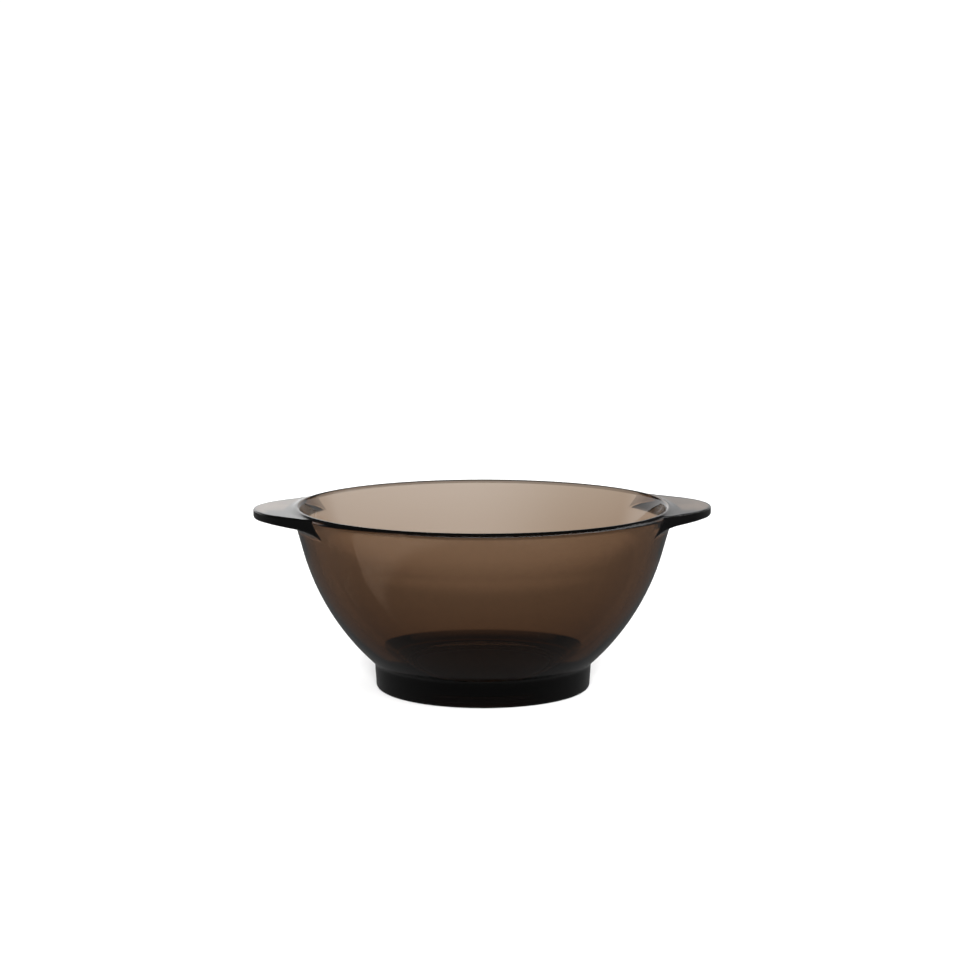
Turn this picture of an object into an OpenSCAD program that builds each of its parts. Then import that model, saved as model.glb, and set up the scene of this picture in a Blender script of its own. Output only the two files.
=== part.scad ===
// Lugged glass bowl: a pressed glass mixing bowl with a foot ring, a rounded rim and two flat lugs.
// Millimetres. Z is up, the foot stands on z = 0, the lugs point along +X and -X.
// The bowl is one pressing. Its regions are modelled as nodes that meet face to face.

/* [Overall] */
// Outer diameter over the rim
rim_d = 131.6; // [126:0.2:140]
// Height from the table to the top of the rim
height = 63.5; // [60:0.5:70]
// Tip to tip over both lugs
lug_span = 158; // [152:1:164]

/* [Wall] */
// Glass thickness just below the rim
wall_t = 3; // [2.7:0.1:3.2]
// Lean of the straight upper wall from vertical, outside, degrees
wall_lean = 15.4; // [14.4:0.2:16.4]
// Lean of the straight upper wall from vertical, inside, degrees
inner_lean = 17.5; // [16.6:0.1:18.4]
// Height where the straight wall turns into the round lower wall
turn_z = 48.2; // [44:0.2:50]
// Radius of the round lower wall, outside
outer_arc = 82; // [79:0.5:84]
// Height where the inner wall turns into the round lower part
inner_turn_z = 47; // [45:0.2:49]
// Radius of the round lower wall, inside
inner_arc = 73; // [71.5:0.5:74.5]
// Height where the lower wall node meets the upper wall node
wall_split = 40; // [36:1:43]

/* [Rim] */
// Height of the rim band
rim_band_h = 4; // [3.5:0.5:6]

/* [Floor and foot] */
// Height of the inner floor over the table
floor_z = 7.5; // [7:0.1:8.5]
// Radius of the corner between the inner floor and the wall
floor_corner = 11; // [8:0.5:15]
// Outer diameter of the foot ring at its top
foot_d = 75; // [72:0.5:76]
// How much narrower the foot is at its bottom, per side
foot_draft = 0.5; // [0.2:0.1:0.8]
// Radius of the soft corner between foot and wall
foot_fillet = 2.5; // [1.5:0.1:3]
// Rounding of the bottom edge of the foot
foot_edge = 1.2; // [0.8:0.1:1.5]
// Depth of the recess under the floor
recess_depth = 2.5; // [1.5:0.1:3]
// Diameter of the recess at the table
recess_d = 53; // [48:0.5:58]
// Sideways run of the sloped recess edge
recess_slope = 2; // [1:0.1:3]
// Diameter of the floor disc inside the foot ring
floor_disc_d = 56; // [52:1:60]

/* [Lugs] */
// Radius of the lug's round end in plan
lug_r = 26; // [24:0.5:28]
// Drop of the lug's top below the rim
lug_drop = 0.6; // [0.4:0.1:0.9]
// Lug thickness near its tip
lug_t = 3.2; // [2.8:0.1:3.6]
// Lug thickness at the wall, before the fillet
lug_root_t = 4.2; // [3.8:0.1:4.6]
// Radius of the fillet under the lug
lug_fillet = 4.5; // [3.5:0.1:5]
// Angle from the lug's axis at which its straight flank meets the wall, degrees
lug_spread = 31; // [29:0.5:33]

/* [Show] */
// Which node to draw

/* [Hidden] */
$fn = 96;
glass_brown = [0.36, 0.27, 0.2, 0.6];
far = 120;

// How far one curve runs past the next
run_on = 0.02;
// Length of the lug's tip whose underside is level
lug_thin_run = 4;

// Lip: a full round as wide as the wall is thick.
rim_r = rim_d / 2;
lip_r = wall_t / 2;
lip_c = [rim_r - lip_r, height - lip_r];
lip_hold = lip_r - run_on;
band_z = height - rim_band_h;

// Outer wall: a straight line that leans by wall_lean, then an arc that takes over at turn_z.
wall_top_r = lip_c[0] + lip_hold / cos(wall_lean);
lip_out = lip_c + lip_hold * [cos(wall_lean), -sin(wall_lean)];
turn_r = wall_top_r - (lip_c[1] - turn_z) * tan(wall_lean);
outer_c = [turn_r - outer_arc * cos(wall_lean), turn_z + outer_arc * sin(wall_lean)];

// Inner wall: it leans more, then a tighter arc, so the wall thickens downwards.
inner_top_r = lip_c[0] - lip_hold / cos(inner_lean);
inner_turn = [inner_top_r - (lip_c[1] - inner_turn_z) * tan(inner_lean), inner_turn_z];
inner_c = [inner_turn[0] - inner_arc * cos(inner_lean), inner_turn[1] + inner_arc * sin(inner_lean)];

// Corner between floor and inner wall: tangent to the floor and to the inner arc.
corner_rise = inner_c[1] - floor_z - floor_corner;
corner_run = sqrt(pow(inner_arc - floor_corner, 2) - pow(corner_rise, 2));
floor_r = inner_c[0] + corner_run;
corner_c = [floor_r, floor_z + floor_corner];
corner_end = inner_c + inner_arc / (inner_arc - floor_corner) * [corner_run, -corner_rise];

// Foot fillet: tangent to the side of the foot and to the outer arc.
foot_r = foot_d / 2;
fillet_c = [foot_r + foot_fillet,
    outer_c[1] - sqrt(pow(outer_arc + foot_fillet, 2) - pow(foot_r + foot_fillet - outer_c[0], 2))];
foot_top = fillet_c[1];
fillet_end = outer_c + outer_arc / (outer_arc + foot_fillet) * (fillet_c - outer_c);
recess_r = recess_d / 2 - recess_slope;
disc_r = floor_disc_d / 2;
foot_edge_c = [foot_r - foot_draft * (1 - foot_edge / foot_top) - foot_edge, foot_edge];

// Lug: section of the plate, with its tapered underside and the fillet below it.
lug_c = lug_span / 2 - lug_r;
lug_top = height - lug_drop;
lug_thin_r = lug_span / 2 - lug_thin_run;
under_slope = (lug_root_t - lug_t) / (lug_thin_r - rim_r);
under_a = atan(under_slope);
// Where the underside line would meet the wall line
root_z = (lug_top - lug_root_t - under_slope * (rim_r - wall_top_r + lip_c[1] * tan(wall_lean)))
    / (1 - under_slope * tan(wall_lean));
root_r = wall_top_r - (lip_c[1] - root_z) * tan(wall_lean);
corner_half = (under_a + 90 + wall_lean) / 2;
corner_dir = under_a - corner_half;
lug_fillet_c = [root_r, root_z] + lug_fillet / sin(corner_half) * [cos(corner_dir), sin(corner_dir)];
fillet_len = lug_fillet / tan(corner_half);
fillet_low = [root_r, root_z] - fillet_len * [sin(wall_lean), cos(wall_lean)];
fillet_out = [root_r, root_z] + fillet_len * [cos(under_a), sin(under_a)];

// Plan of the lug: the flank runs from the wall to where it touches the lug's round end.
flank_r = fillet_low[0];
flank_in = flank_r * [cos(lug_spread), sin(lug_spread)];
flank_d = sqrt(pow(flank_in[0] - lug_c, 2) + pow(flank_in[1], 2));
flank_hold = lug_r - run_on;
flank_a = atan2(flank_in[1], flank_in[0] - lug_c) - acos(flank_hold / flank_d);
flank_out = [lug_c + flank_hold * cos(flank_a), flank_hold * sin(flank_a)];
// The flank runs on this far into the wall
flank_run_on = 3;
flank_end = flank_in + flank_run_on / norm(flank_in - flank_out) * (flank_in - flank_out);

// Half section of everything inside the outer wall, between two heights.
module outer_half(z0, z1) {
    intersection() {
        union() {
            translate(outer_c)
                circle(outer_arc + run_on);
            polygon([
                [0, turn_z],
                [turn_r, turn_z],
                lip_out,
                [0, lip_out[1]]
            ]);
        }
        translate([0, z0])
            square([far, z1 - z0]);
    }
}

// Half section of the hollow inside the bowl.
module hollow_half() {
    intersection() {
        translate(inner_c)
            circle(inner_arc + run_on);
        translate([0, corner_end[1]])
            square([far, height]);
    }
    intersection() {
        translate(corner_c)
            circle(floor_corner + run_on);
        translate([0, floor_z])
            square([far, floor_corner]);
    }
    translate([0, floor_z])
        square([floor_r, floor_corner]);
    polygon([
        [0, inner_turn[1]],
        inner_turn,
        inner_turn + (height - inner_turn[1]) * [tan(inner_lean), 1],
        [0, height]
    ]);
}

// Foot ring, from the table up to the start of the foot fillet.
module foot_ring() {
    color(glass_brown)
        rotate_extrude()
            difference() {
                polygon([
                    [recess_d / 2, 0],
                    [foot_r - foot_draft, 0],
                    [foot_r, foot_top],
                    [disc_r, foot_top],
                    [disc_r, recess_depth],
                    [recess_r, recess_depth]
                ]);
                difference() {
                    translate([foot_edge_c[0], -1])
                        square([far, 1 + foot_edge]);
                    translate(foot_edge_c)
                        circle(foot_edge + run_on);
                }
            }
}

// Floor inside the foot ring.
module floor_disc() {
    color(glass_brown)
        rotate_extrude()
            difference() {
                translate([0, recess_depth])
                    square([disc_r, floor_z + floor_corner - recess_depth]);
                hollow_half();
            }
}

// Lower part of the side wall, with the soft corner down to the foot.
module lower_wall() {
    color(glass_brown)
        rotate_extrude()
            difference() {
                union() {
                    outer_half(foot_top, wall_split);
                    polygon([
                        [disc_r, foot_top],
                        [foot_r, foot_top],
                        [fillet_end[0], foot_top],
                        fillet_end,
                        [disc_r, fillet_end[1]]
                    ]);
                }
                translate(fillet_c)
                    circle(foot_fillet + run_on);
                square([disc_r, floor_z + floor_corner]);
                hollow_half();
            }
}

// Upper part of the side wall, up to the rim band.
module upper_wall() {
    color(glass_brown)
        rotate_extrude()
            difference() {
                outer_half(wall_split, band_z);
                hollow_half();
            }
}

// Half section of the rim band: the end of the wall under a full round.
module rim_half() {
    polygon([
        [inner_top_r - (lip_c[1] - band_z) * tan(inner_lean), band_z],
        [wall_top_r - (lip_c[1] - band_z) * tan(wall_lean), band_z],
        lip_out,
        lip_c - lip_hold * [cos(inner_lean), -sin(inner_lean)]
    ]);
    translate(lip_c)
        circle(lip_r);
}

// Rounded rim.
module rim_band() {
    color(glass_brown)
        rotate_extrude()
            rim_half();
}

// Half section of a lug: flat top, tapered underside and fillet, cut back by the bowl.
module lug_half() {
    difference() {
        polygon([
            [0, lug_top],
            [0, fillet_low[1]],
            fillet_low,
            fillet_out,
            [lug_thin_r, lug_top - lug_t],
            [far, lug_top - lug_t],
            [far, lug_top]
        ]);
        translate(lug_fillet_c)
            circle(lug_fillet + run_on);
        outer_half(0, lip_out[1]);
        translate(lip_c)
            circle(lip_r);
        square([lip_c[0], height]);
    }
}

// Plan of a lug as a solid: a round end and two straight flanks back to the wall.
module lug_blank() {
    linear_extrude(height) {
        translate([lug_c, 0])
            circle(lug_r);
        polygon([
            [0, 0],
            [flank_end[0], -flank_end[1]],
            [flank_out[0], -flank_out[1]],
            [lug_c, 0],
            flank_out,
            flank_end
        ]);
    }
}

module lug() {
    intersection() {
        rotate_extrude()
            lug_half();
        rotate([0, 0, 180])
            lug_blank();
    }
}

// Lug on the -X side.
module left_lug() {
    color(glass_brown)
        lug();
}

// Lug on the +X side.
module right_lug() {
    color(glass_brown)
        rotate([0, 0, 180])
            lug();
}

foot_ring();
floor_disc();
lower_wall();
upper_wall();
rim_band();
left_lug();
right_lug();
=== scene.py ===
"""A pressed glass bowl with two flat lugs and a foot ring, in clear smoked brown glass.

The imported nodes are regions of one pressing, so the visible bowl is one closed mesh: a section turned round
the axis, stretched to the lug's outline in plan where a lug stands out.
"""

import math

import bpy
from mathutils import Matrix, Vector


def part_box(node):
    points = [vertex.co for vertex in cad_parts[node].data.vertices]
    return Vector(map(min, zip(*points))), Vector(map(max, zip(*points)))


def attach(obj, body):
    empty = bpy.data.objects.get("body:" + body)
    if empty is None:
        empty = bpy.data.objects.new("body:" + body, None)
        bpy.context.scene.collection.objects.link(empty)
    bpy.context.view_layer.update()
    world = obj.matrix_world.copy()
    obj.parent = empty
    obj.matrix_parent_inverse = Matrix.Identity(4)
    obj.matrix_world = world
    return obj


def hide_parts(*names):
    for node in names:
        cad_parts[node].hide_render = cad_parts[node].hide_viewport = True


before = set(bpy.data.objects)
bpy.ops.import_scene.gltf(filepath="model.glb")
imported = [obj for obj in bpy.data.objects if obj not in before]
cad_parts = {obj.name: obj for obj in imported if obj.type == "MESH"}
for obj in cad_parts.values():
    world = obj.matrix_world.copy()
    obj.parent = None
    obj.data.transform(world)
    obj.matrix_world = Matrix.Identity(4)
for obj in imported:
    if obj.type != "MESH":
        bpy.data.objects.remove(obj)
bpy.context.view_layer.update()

MM = 0.001

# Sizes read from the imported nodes.
RIM_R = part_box("rim_band")[1].x
TOP_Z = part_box("rim_band")[1].z
FOOT_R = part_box("foot_ring")[1].x
RECESS_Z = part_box("floor_disc")[0].z
LUG_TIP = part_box("right_lug")[1].x
LUG_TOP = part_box("right_lug")[1].z

# Section of the wall, the floor and the foot.
LEAN = math.radians(15.4)
TURN_Z = 48.2 * MM
OUTER_ARC = 82 * MM
WALL_T = 3 * MM
INNER_LEAN = math.radians(17.5)
INNER_TURN_Z = 47 * MM
INNER_ARC = 73 * MM
LIP_R = WALL_T / 2
LIP_HOLD = LIP_R - 0.02 * MM
FLOOR_Z = 7.5 * MM
FLOOR_CORNER = 11 * MM
FOOT_FILLET = 2.5 * MM
FOOT_EDGE = 1.2 * MM
FOOT_DRAFT = 0.5 * MM
RECESS_R = 24.5 * MM
RECESS_RUN = 2 * MM
RECESS_ROUND = 0.8 * MM

# How far the straight lines under the foot keep from its rounded corners, and the share of the foot's height
# at which its straight side starts.
RECESS_INSET = 1.5 * MM
SOLE_INSET = 1 * MM
SOLE_OUTSET = 2 * MM
SIDE_START = 0.3

# Lugs: section and plan.
LUG_T = 3.2 * MM
LUG_ROOT_T = 4.2 * MM
LUG_THIN_RUN = 4 * MM
LUG_FILLET = 4.5 * MM
LUG_TOP_EDGE = 0.45 * MM
LUG_LOW_EDGE = 1.0 * MM
LUG_TOP_FILLET = 6 * MM
LUG_LOW_Z = 54 * MM
LUG_R = 26 * MM
LUG_SPREAD = 31
LUG_LEAST_R = 68.3 * MM
LUG_MOST_SLANT = 2.2

# Degrees between sections: away from the lugs, at the lugs, and close to where a lug ends.
COARSE_STEP = 1.5
FINE_STEP = 0.6
END_STEP = 0.25
LUG_HALF_ANGLE = 36
LUG_END_ANGLE = LUG_SPREAD - 1.5
LUG_END_REACH = 2.5


# ---------------------------------------------------------------- section tools


def arc(centre, radius, start, end, steps):
    """Points on an arc, both ends included. Angles in degrees from +r towards +z."""
    angles = [math.radians(start + (end - start) * i / steps) for i in range(steps + 1)]
    return [(centre[0] + radius * math.cos(a), centre[1] + radius * math.sin(a)) for a in angles]


def line(a, b, steps):
    """Points from a to b, both ends included."""
    return [(a[0] + (b[0] - a[0]) * i / steps, a[1] + (b[1] - a[1]) * i / steps) for i in range(steps + 1)]


def joined(*runs):
    """One list of points from several runs, leaving out a point that repeats the last one."""
    out = []
    for run in runs:
        for p in run:
            if not out or math.dist(p, out[-1]) > 1e-7:
                out.append(p)
    return out


def rounded(a, corner, b, radius, steps):
    """The corner between a and b as an arc of the given radius."""
    to_a = Vector((a[0] - corner[0], a[1] - corner[1])).normalized()
    to_b = Vector((b[0] - corner[0], b[1] - corner[1])).normalized()
    half = math.acos(max(-1, min(1, to_a.dot(to_b)))) / 2
    centre = Vector(corner) + (to_a + to_b).normalized() * radius / math.sin(half)
    start = Vector(corner) + to_a * radius / math.tan(half) - centre
    end = Vector(corner) + to_b * radius / math.tan(half) - centre
    a0 = math.degrees(math.atan2(start.y, start.x))
    turn = (math.degrees(math.atan2(end.y, end.x)) - a0 + 180) % 360 - 180
    return arc(centre, radius, a0, a0 + turn, steps)


def heading(centre, p):
    """The angle in degrees of p seen from centre."""
    return math.degrees(math.atan2(p[1] - centre[1], p[0] - centre[0]))


def along(points, count):
    """count points at even spacing along a run of points."""
    reach = [0.0]
    for a, b in zip(points, points[1:]):
        reach.append(reach[-1] + math.dist(a, b))
    out = []
    k = 0
    for i in range(count):
        want = reach[-1] * i / (count - 1)
        while k < len(points) - 2 and reach[k + 1] < want:
            k += 1
        t = (want - reach[k]) / max(reach[k + 1] - reach[k], 1e-12)
        a, b = points[k], points[k + 1]
        out.append((a[0] + (b[0] - a[0]) * t, a[1] + (b[1] - a[1]) * t))
    return out


def cut_at(points, r):
    """The start of a run of points, up to radius r."""
    out = [points[0]]
    for a, b in zip(points, points[1:]):
        if b[0] >= r:
            t = (r - a[0]) / (b[0] - a[0])
            return out + [(r, a[1] + (b[1] - a[1]) * t)]
        out.append(b)
    return out


# ---------------------------------------------------------------- the bowl's section

LIP_C = (RIM_R - LIP_R, TOP_Z - LIP_R)
WALL_TOP_R = LIP_C[0] + LIP_HOLD / math.cos(LEAN)


def wall_r(z):
    """Outer radius of the straight upper wall at height z."""
    return WALL_TOP_R - (LIP_C[1] - z) * math.tan(LEAN)


OUTER_TURN = (wall_r(TURN_Z), TURN_Z)
OUTER_C = (OUTER_TURN[0] - OUTER_ARC * math.cos(LEAN), TURN_Z + OUTER_ARC * math.sin(LEAN))
INNER_TOP_R = LIP_C[0] - LIP_HOLD / math.cos(INNER_LEAN)
INNER_TURN = (INNER_TOP_R - (LIP_C[1] - INNER_TURN_Z) * math.tan(INNER_LEAN), INNER_TURN_Z)
INNER_C = (
    INNER_TURN[0] - INNER_ARC * math.cos(INNER_LEAN),
    INNER_TURN_Z + INNER_ARC * math.sin(INNER_LEAN),
)

# Angles on the lip's circle where the outer wall, the inner wall and the lug's top meet it.
OUTER_MEET = -math.degrees(LEAN)
INNER_MEET = 180 - math.degrees(INNER_LEAN)
TOP_MEET = math.degrees(math.asin((LUG_TOP + LUG_TOP_FILLET - LIP_C[1]) / (LIP_R + LUG_TOP_FILLET)))


def on_lip(a):
    """Point on the lip's circle at angle a."""
    return arc(LIP_C, LIP_R, a, a, 1)[0]


def under_and_outer_wall():
    """Section from the axis under the floor, round the foot and up the outer wall to the lug's height."""
    recess_edge = (RECESS_R + RECESS_RUN, 0.0)
    recess_corner = (RECESS_R, RECESS_Z)
    foot_low = (FOOT_R - FOOT_DRAFT, 0.0)
    reach = OUTER_ARC + FOOT_FILLET
    fillet_r = FOOT_R + FOOT_FILLET
    fillet_c = (fillet_r, OUTER_C[1] - math.sqrt(reach**2 - (fillet_r - OUTER_C[0]) ** 2))
    foot_side = (FOOT_R, fillet_c[1])
    meet = heading(OUTER_C, fillet_c)
    return joined(
        line((0.0, RECESS_Z), (RECESS_R - RECESS_INSET, RECESS_Z), 6),
        rounded((0.0, RECESS_Z), recess_corner, recess_edge, RECESS_ROUND, 5),
        rounded(recess_corner, recess_edge, foot_low, RECESS_ROUND, 5),
        line((RECESS_R + RECESS_RUN + SOLE_INSET, 0.0), (FOOT_R - FOOT_DRAFT - SOLE_OUTSET, 0.0), 3),
        rounded(recess_edge, foot_low, foot_side, FOOT_EDGE, 7),
        line((FOOT_R - FOOT_DRAFT * (1 - SIDE_START), fillet_c[1] * SIDE_START), foot_side, 5),
        arc(fillet_c, FOOT_FILLET, 180, 180 + meet, 9),
        arc(OUTER_C, OUTER_ARC, meet, heading(OUTER_C, OUTER_TURN), 38),
        line(OUTER_TURN, (wall_r(LUG_LOW_Z), LUG_LOW_Z), 5),
    )


def inner_side():
    """Section from the lug's join on the lip, over the rim and down the inside to the middle of the floor."""
    rise = INNER_C[1] - FLOOR_Z - FLOOR_CORNER
    run = math.sqrt((INNER_ARC - FLOOR_CORNER) ** 2 - rise**2)
    corner_c = (INNER_C[0] + run, FLOOR_Z + FLOOR_CORNER)
    corner_a = heading(INNER_C, corner_c)
    return joined(
        arc(LIP_C, LIP_R, TOP_MEET, INNER_MEET, 16),
        line(on_lip(INNER_MEET), INNER_TURN, 6),
        arc(INNER_C, INNER_ARC, heading(INNER_C, INNER_TURN), corner_a, 36),
        arc(corner_c, FLOOR_CORNER, corner_a, -90, 10),
        line((corner_c[0], FLOOR_Z), (0.0, FLOOR_Z), 8),
    )


# Points in each stretch of the lug's section: wall, underside, low edge, side, top edge, top and rise to the
# lip.
STRETCHES = (4, 22, 7, 3, 6, 7, 8)


def plain_rim():
    """Fine run of points up the rim's outer side where there is no lug."""
    start = (wall_r(LUG_LOW_Z), LUG_LOW_Z)
    return joined(line(start, on_lip(OUTER_MEET), 300), arc(LIP_C, LIP_R, OUTER_MEET, TOP_MEET, 300))


def lug_under():
    """Fine run of points up the wall, round the lug's fillet and out along its tapered underside."""
    thin = (LUG_TIP - LUG_THIN_RUN, LUG_TOP - LUG_T)
    slope = (LUG_ROOT_T - LUG_T) / (thin[0] - RIM_R)
    root_r = WALL_TOP_R
    for _ in range(20):
        root_r = wall_r(thin[1] - slope * (thin[0] - root_r))
    root = (root_r, thin[1] - slope * (thin[0] - root_r))
    low = (wall_r(LUG_LOW_Z), LUG_LOW_Z)
    return joined([low], rounded(low, root, thin, LUG_FILLET, 60), line(thin, (LUG_TIP, thin[1]), 10))


FLANK_R = lug_under()[1][0]


def lug_rim(reach, slant, under):
    """The rim's outer side where the lug stands out to radius reach. The edge's rounding is widened by
    slant, as the outline runs aslant to the radius there."""
    inner_r = reach - LUG_LOW_EDGE * slant
    top_r = reach - LUG_TOP_EDGE * slant
    below = cut_at(under, inner_r)
    low_z = below[-1][1]
    bottom = [
        (inner_r + (reach - inner_r) * math.sin(t), low_z + LUG_LOW_EDGE * (1 - math.cos(t)))
        for t in quarter()
    ]
    top = [
        (top_r + (reach - top_r) * math.cos(t), LUG_TOP - LUG_TOP_EDGE * (1 - math.sin(t)))
        for t in quarter()
    ]
    flat_end = (LIP_C[0] + (LIP_R + LUG_TOP_FILLET) * math.cos(math.radians(TOP_MEET)), LUG_TOP)
    join = arc((flat_end[0], LUG_TOP + LUG_TOP_FILLET), LUG_TOP_FILLET, 270, 180 + TOP_MEET, 7)
    runs = (below[:2], below[1:], bottom, [bottom[-1], top[0]], top, [top[-1], flat_end], join)
    out = []
    for run, n in zip(runs, STRETCHES):
        out += along(run, n + 1)[:n]
    return out


def quarter():
    """Fine angles over a quarter turn."""
    return [math.pi / 2 * i / 24 for i in range(25)]


def lug_outline(a):
    """Radius of the lug's outline in plan, and how much its edge is widened, at a radians from the axis."""
    centre = Vector((LUG_TIP - LUG_R, 0))
    spread = math.radians(LUG_SPREAD)
    wall = Vector((math.cos(spread), math.sin(spread))) * FLANK_R
    to_wall = wall - centre
    touch_a = math.atan2(to_wall.y, to_wall.x) - math.acos(LUG_R / to_wall.length)
    outward = Vector((math.cos(touch_a), math.sin(touch_a)))
    touch = centre + outward * LUG_R
    if abs(a) > touch_a:
        return touch.dot(outward), 1
    ray = Vector((math.cos(a), math.sin(abs(a))))
    if abs(a) > math.atan2(touch.y, touch.x):
        return touch.dot(outward) / ray.dot(outward), 1 / ray.dot(outward)
    r = centre.x * ray.x + math.sqrt(LUG_R**2 - (centre.x * ray.y) ** 2)
    return r, 1 / (ray * r - centre).normalized().dot(ray)


# The rim's sections seen from a point inside it, a little below the lip's centre, as angle and distance.
HUB_DROP = 0.6 * MM
RIM_HUB = (LIP_C[0], LIP_C[1] - HUB_DROP)


def from_hub(p):
    """Angle and distance of p from the hub."""
    r, z = p[0] - RIM_HUB[0], p[1] - RIM_HUB[1]
    return math.atan2(z, r), math.hypot(r, z)


def merged(lug, plain_fine, reach):
    """The lug's section cut off at reach, joined with the plain rim's."""
    out = []
    k = 0
    for p in lug:
        a, d = from_hub(p)
        if reach < RIM_HUB[0]:
            d = 0.0
        elif p[0] > reach:
            d = (reach - RIM_HUB[0]) / math.cos(a)
        while k < len(plain_fine) - 2 and plain_fine[k + 1][0] < a:
            k += 1
        (a0, d0), (a1, d1) = plain_fine[k], plain_fine[k + 1]
        t = max(0.0, min(1.0, (a - a0) / max(a1 - a0, 1e-12)))
        d = max(d, d0 + (d1 - d0) * t)
        out.append((RIM_HUB[0] + d * math.cos(a), RIM_HUB[1] + d * math.sin(a)))
    return out


# ---------------------------------------------------------------- the bowl


def turn_angles():
    """Angles round the axis in degrees, closer together at the lugs."""
    quarter_turn = []
    a = 0.0
    while a < 90 - 1e-6:
        quarter_turn.append(a)
        near_end = abs(a - LUG_END_ANGLE) < LUG_END_REACH
        a += END_STEP if near_end else FINE_STEP if a < LUG_HALF_ANGLE else COARSE_STEP
    half = quarter_turn + [90.0] + [180 - a for a in reversed(quarter_turn)]
    return half[:-1] + [180 + a for a in half[:-1]]


def build_bowl():
    """One closed mesh: the section at every angle, closed at the axis above and below."""
    low_run = under_and_outer_wall()
    high_run = inner_side()
    plain = [from_hub(p) for p in plain_rim()]
    under = lug_under()
    verts = [(0, 0, low_run[0][1]), (0, 0, high_run[-1][1])]
    rings = []
    for degrees in turn_angles():
        a = math.radians(degrees)
        from_lug = math.asin(max(-1, min(1, math.sin(a))))
        reach, slant = lug_outline(from_lug)
        held = min(max(reach, LUG_LEAST_R), LUG_TIP)
        rim = merged(lug_rim(held, min(slant, LUG_MOST_SLANT), under), plain, reach)
        section = low_run[1:-1] + rim + high_run[:-1]
        rings.append(range(len(verts), len(verts) + len(section)))
        verts += [(r * math.cos(a), r * math.sin(a), z) for r, z in section]
    faces = []
    for here, there in zip(rings, rings[1:] + rings[:1]):
        faces.append((0, there[0], here[0]))
        faces += [(here[i], there[i], there[i + 1], here[i + 1]) for i in range(len(here) - 1)]
        faces.append((here[-1], there[-1], 1))
    mesh = bpy.data.meshes.new("bowl")
    mesh.from_pydata(verts, [], faces)
    mesh.validate()
    mesh.update()
    bowl = bpy.data.objects.new("bowl", mesh)
    bpy.context.scene.collection.objects.link(bowl)
    mesh.shade_smooth()
    return bowl


# ---------------------------------------------------------------- glass

GLASS_IOR = 1.5
GLASS_SPECULAR = 0.5
GLASS_TINT = (0.477, 0.30, 0.118, 1)
GLASS_DENSITY = 440
HAZE_SCALE = 60
HAZE_MOST = 0.015
WAVE_SCALE = 18
WAVE_STRENGTH = 0.04
WAVE_DEPTH = 0.6 * MM


def glass_material():
    """Clear smoked brown pressed glass: slightly wavy, with a faint haze that varies."""
    mat = bpy.data.materials.new("smoked_glass")
    mat.use_nodes = True
    nodes, links = mat.node_tree.nodes, mat.node_tree.links
    shader = nodes["Principled BSDF"]
    shader.inputs["Base Color"].default_value = (1, 1, 1, 1)
    shader.inputs["Transmission Weight"].default_value = 1
    shader.inputs["IOR"].default_value = GLASS_IOR
    shader.inputs["Specular IOR Level"].default_value = GLASS_SPECULAR
    coords = nodes.new("ShaderNodeTexCoord")

    haze = nodes.new("ShaderNodeTexNoise")
    haze.inputs["Scale"].default_value = HAZE_SCALE
    haze.inputs["Detail"].default_value = 4
    links.new(coords.outputs["Object"], haze.inputs["Vector"])
    spread = nodes.new("ShaderNodeMapRange")
    spread.inputs["To Min"].default_value = 0.0
    spread.inputs["To Max"].default_value = HAZE_MOST
    links.new(haze.outputs["Fac"], spread.inputs["Value"])
    links.new(spread.outputs["Result"], shader.inputs["Roughness"])

    waves = nodes.new("ShaderNodeTexNoise")
    waves.inputs["Scale"].default_value = WAVE_SCALE
    waves.inputs["Detail"].default_value = 1
    links.new(coords.outputs["Object"], waves.inputs["Vector"])
    bump = nodes.new("ShaderNodeBump")
    bump.inputs["Strength"].default_value = WAVE_STRENGTH
    bump.inputs["Distance"].default_value = WAVE_DEPTH
    links.new(waves.outputs["Fac"], bump.inputs["Height"])
    links.new(bump.outputs["Normal"], shader.inputs["Normal"])

    absorb = nodes.new("ShaderNodeVolumeAbsorption")
    absorb.inputs["Color"].default_value = GLASS_TINT
    absorb.inputs["Density"].default_value = GLASS_DENSITY
    links.new(absorb.outputs["Volume"], nodes["Material Output"].inputs["Volume"])
    return mat


# ---------------------------------------------------------------- studio

# Brightness of the surroundings as seen directly: from the horizon up to the ceiling.
WORLD_LIGHT = 1.05
WORLD_CEILING = 0.15
CEILING_RISE = (0.25, 0.75)

# As seen through the glass: a level, and fades of it by height, each from one share to another.
THROUGH_LIGHT = 0.94
THROUGH_FADES = (((-0.8, -0.5), (0.2, 1)), ((-0.236, -0.2), (0.6, 1)), ((0.02, 0.08), (1, 0.2)))

# As mirrored in the glass: below, on the horizon behind, in a soft box in front and to the right, and on top.
MIRRORED_FRONT = 0.08
MIRRORED_BACK = 0.12
MIRRORED_LEFT = 0.95
MIRRORED_RIGHT = 0.45
MIRRORED_TOP = 0.06
MIRRORED_BOX = 1.9
LOW_SPAN = (-0.95, 0.3)
HORIZON_SPAN = (0.0, 0.13)
HORIZON_TOP = (0.25, 0.35)
BOX_SPAN = (-0.8, 1.2)
BOX_TILT = 0.17
BOX_FOOT = (0.0, 0.26)
BOX_TOP = (0.5, 0.65)
BEHIND_SPAN = (0.3, 0.6)
MIRRORED_EDGE = (-0.10, -0.02)

FRONT_LIGHT = 12
FRONT_SPREAD = 24
DOME_LIGHT = 3
DOME_SPREAD = 140

FLOOR_R = 20
FLOOR_SIDES = 128
FLOOR_DROP = 0.05 * MM


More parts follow.
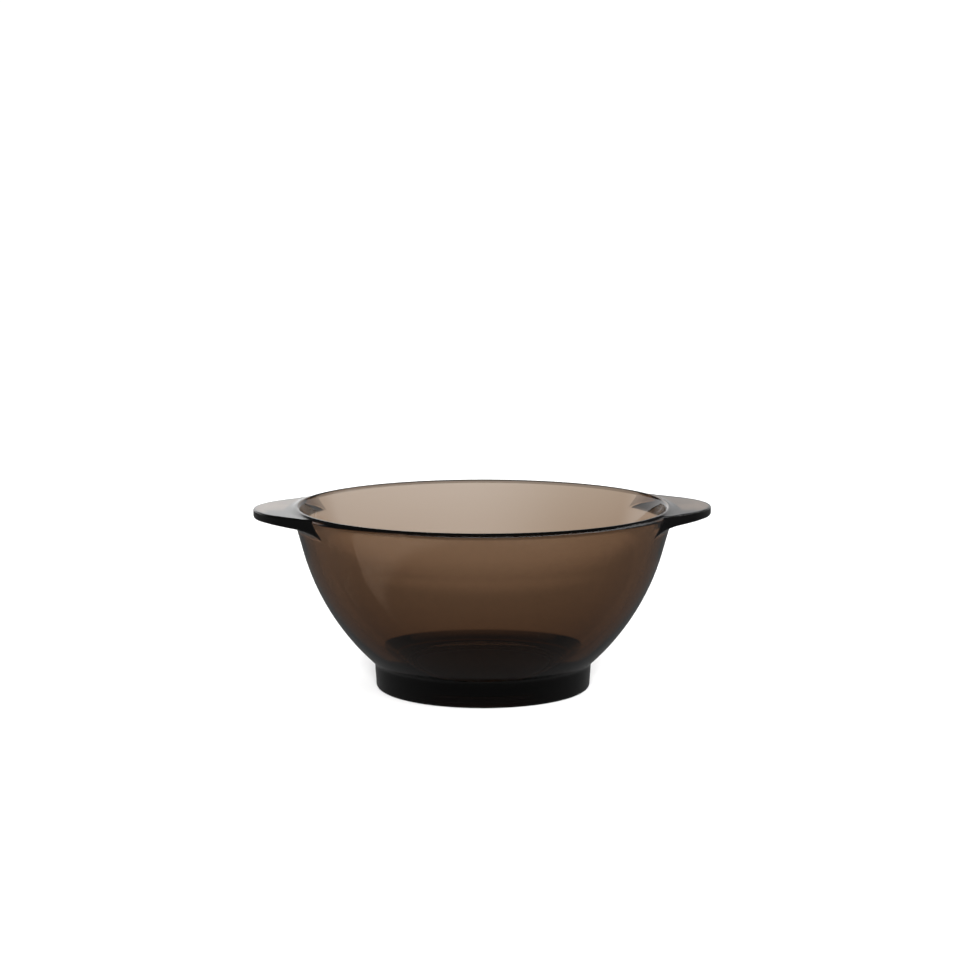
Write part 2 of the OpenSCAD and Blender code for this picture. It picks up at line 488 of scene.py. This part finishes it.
def floor_material():
    """Pale, faintly mottled floor."""
    mat = bpy.data.materials.new("pale_floor")
    mat.use_nodes = True
    nodes, links = mat.node_tree.nodes, mat.node_tree.links
    shader = nodes["Principled BSDF"]
    shader.inputs["Base Color"].default_value = (0.85, 0.85, 0.85, 1)
    shader.inputs["Specular IOR Level"].default_value = 0
    noise = nodes.new("ShaderNodeTexNoise")
    noise.inputs["Scale"].default_value = 30
    spread = nodes.new("ShaderNodeMapRange")
    spread.inputs["To Min"].default_value = 0.85
    spread.inputs["To Max"].default_value = 0.95
    links.new(noise.outputs["Fac"], spread.inputs["Value"])
    links.new(spread.outputs["Result"], shader.inputs["Roughness"])
    return mat


def build_floor(name, radius, drop, material):
    """A flat round of floor under the bowl."""
    mesh = bpy.data.meshes.new(name)
    angles = [math.tau * i / FLOOR_SIDES for i in range(FLOOR_SIDES)]
    mesh.from_pydata(
        [(radius * math.cos(a), radius * math.sin(a), -drop) for a in angles], [], [range(FLOOR_SIDES)]
    )
    mesh.materials.append(material)
    floor = bpy.data.objects.new(name, mesh)
    bpy.context.scene.collection.objects.link(floor)
    return floor


def build_floors():
    """The wide floor, kept out of reflections and of the view through the glass, and the patch under the
    foot, which is seen through the glass in the bowl's own shade."""
    material = floor_material()
    wide = build_floor("floor", FLOOR_R, FLOOR_DROP, material)
    wide.visible_glossy = False
    wide.visible_transmission = False
    under = build_floor("floor_under_foot", FOOT_R - FOOT_DRAFT - FOOT_EDGE, FLOOR_DROP / 2, material)
    return wide, under


def build_sun(name, strength, spread, tilt, turn):
    """A far, broad light, kept out of reflections and of the view through the glass."""
    lamp = bpy.data.lights.new(name, "SUN")
    lamp.energy = strength
    lamp.angle = math.radians(spread)
    light = bpy.data.objects.new(name, lamp)
    light.rotation_euler = (math.radians(tilt), 0, math.radians(turn))
    light.visible_glossy = False
    light.visible_transmission = False
    bpy.context.scene.collection.objects.link(light)
    return light


def ramp(nodes, links, source, span, at_low, at_high):
    """Soft ramp of a value over a span."""
    node = nodes.new("ShaderNodeMapRange")
    node.interpolation_type = "SMOOTHSTEP"
    node.inputs["From Min"].default_value = span[0]
    node.inputs["From Max"].default_value = span[1]
    node.inputs["To Min"].default_value = at_low
    node.inputs["To Max"].default_value = at_high
    links.new(source, node.inputs["Value"])
    return node.outputs["Result"]


def mixed(nodes, links, factor, a, b):
    """Mix of two values by a factor."""
    node = nodes.new("ShaderNodeMix")
    for value, socket in ((factor, "Factor"), (a, "A"), (b, "B")):
        links.new(value, node.inputs[socket])
    return node.outputs["Result"]


def constant(nodes, value):
    """A fixed value."""
    node = nodes.new("ShaderNodeValue")
    node.outputs["Value"].default_value = value
    return node.outputs["Value"]


def combined(nodes, links, operation, a, b):
    """Two values put together by the operation."""
    node = nodes.new("ShaderNodeMath")
    node.operation = operation
    links.new(a, node.inputs[0])
    links.new(b, node.inputs[1])
    return node.outputs["Value"]


def seen_through(nodes, links, z):
    """Surroundings as seen through the glass: near white at the horizon, grey below and dark above."""
    level = constant(nodes, THROUGH_LIGHT)
    for span, shares in THROUGH_FADES:
        level = combined(nodes, links, "MULTIPLY", level, ramp(nodes, links, z, span, *shares))
    return level


def mirrored_box(nodes, links, x, y, z):
    """Soft box mirrored in the glass, brightest in front and to the right. Its foot sinks to the back."""
    side = combined(nodes, links, "SUBTRACT", x, y)
    tilt = combined(nodes, links, "MULTIPLY", y, constant(nodes, BOX_TILT))
    foot = combined(nodes, links, "ADD", z, tilt)
    level = ramp(nodes, links, side, BOX_SPAN, 0, MIRRORED_BOX)
    level = combined(nodes, links, "MULTIPLY", level, ramp(nodes, links, foot, BOX_FOOT, 0, 1))
    return combined(nodes, links, "MULTIPLY", level, ramp(nodes, links, z, BOX_TOP, 1, 0))


def mirrored_room(nodes, links, x, y, z):
    """Surroundings as mirrored in the glass: dark below, a soft box in front and a light horizon behind."""
    below = ramp(nodes, links, y, LOW_SPAN, MIRRORED_FRONT, MIRRORED_BACK)
    horizon = ramp(nodes, links, x, HORIZON_SPAN, MIRRORED_LEFT, MIRRORED_RIGHT)
    horizon = combined(nodes, links, "MULTIPLY", horizon, ramp(nodes, links, z, HORIZON_TOP, 1, 0))
    behind = ramp(nodes, links, y, BEHIND_SPAN, 0, 1)
    above = mixed(nodes, links, behind, mirrored_box(nodes, links, x, y, z), horizon)
    above = combined(nodes, links, "ADD", above, constant(nodes, MIRRORED_TOP))
    return mixed(nodes, links, ramp(nodes, links, z, MIRRORED_EDGE, 0, 1), below, above)


def build_world():
    """White surroundings under a dim ceiling. The floor is neither mirrored in the glass nor seen through
    it, so the surroundings have a brightness of their own for each of those two kinds of ray."""
    world = bpy.data.worlds.new("studio")
    world.use_nodes = True
    nodes, links = world.node_tree.nodes, world.node_tree.links
    coords = nodes.new("ShaderNodeTexCoord")
    split = nodes.new("ShaderNodeSeparateXYZ")
    links.new(coords.outputs["Generated"], split.inputs["Vector"])
    x, y, z = (split.outputs[axis] for axis in "XYZ")
    path = nodes.new("ShaderNodeLightPath")
    direct = ramp(nodes, links, z, CEILING_RISE, WORLD_LIGHT, WORLD_CEILING)
    through = seen_through(nodes, links, z)
    strength = mixed(nodes, links, path.outputs["Is Transmission Ray"], direct, through)
    mirrored = mirrored_room(nodes, links, x, y, z)
    strength = mixed(nodes, links, path.outputs["Is Reflection Ray"], strength, mirrored)
    back = nodes["Background"]
    back.inputs["Color"].default_value = (1, 1, 1, 1)
    links.new(strength, back.inputs["Strength"])
    bpy.context.scene.world = world


CAMERA_AZIMUTH = -3.5
CAMERA_ELEVATION = 10.564
CAMERA_DISTANCE = 0.8402
CAMERA_PITCH = 7.796
CAMERA_LENS = 90.15
AIM_Z = 0.030


def build_camera():
    """Camera in front of the bowl, a little to the left, looking slightly down and over it."""
    cam = bpy.data.cameras.new("camera")
    cam.lens = CAMERA_LENS
    cam.sensor_width = 36
    camera = bpy.data.objects.new("camera", cam)
    a, e = math.radians(CAMERA_AZIMUTH), math.radians(CAMERA_ELEVATION)
    back = Vector((math.sin(a) * math.cos(e), -math.cos(a) * math.cos(e), math.sin(e)))
    camera.location = Vector((0, 0, AIM_Z)) + back * CAMERA_DISTANCE
    camera.rotation_euler = (math.radians(90 - CAMERA_PITCH), 0, a)
    bpy.context.scene.collection.objects.link(camera)
    bpy.context.scene.camera = camera


def set_render():
    """Plain view transform, so white stays white, and enough bounces for light inside thick glass."""
    scene = bpy.context.scene
    scene.view_settings.view_transform = "Standard"
    scene.view_settings.look = "None"
    scene.cycles.max_bounces = 24
    scene.cycles.transmission_bounces = 24
    scene.cycles.glossy_bounces = 12
    scene.cycles.transparent_max_bounces = 8
    scene.cycles.caustics_refractive = True
    scene.cycles.caustics_reflective = True


# ---------------------------------------------------------------- the scene

bowl = build_bowl()
bowl.data.materials.append(glass_material())
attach(bowl, "root")
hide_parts("foot_ring", "floor_disc", "lower_wall", "upper_wall", "rim_band", "left_lug", "right_lug")

for piece in build_floors():
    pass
build_sun("front_light", FRONT_LIGHT, FRONT_SPREAD, 90 - CAMERA_ELEVATION, CAMERA_AZIMUTH)
build_sun("dome_light", DOME_LIGHT, DOME_SPREAD, 0, 0)
build_world()
build_camera()
set_render()
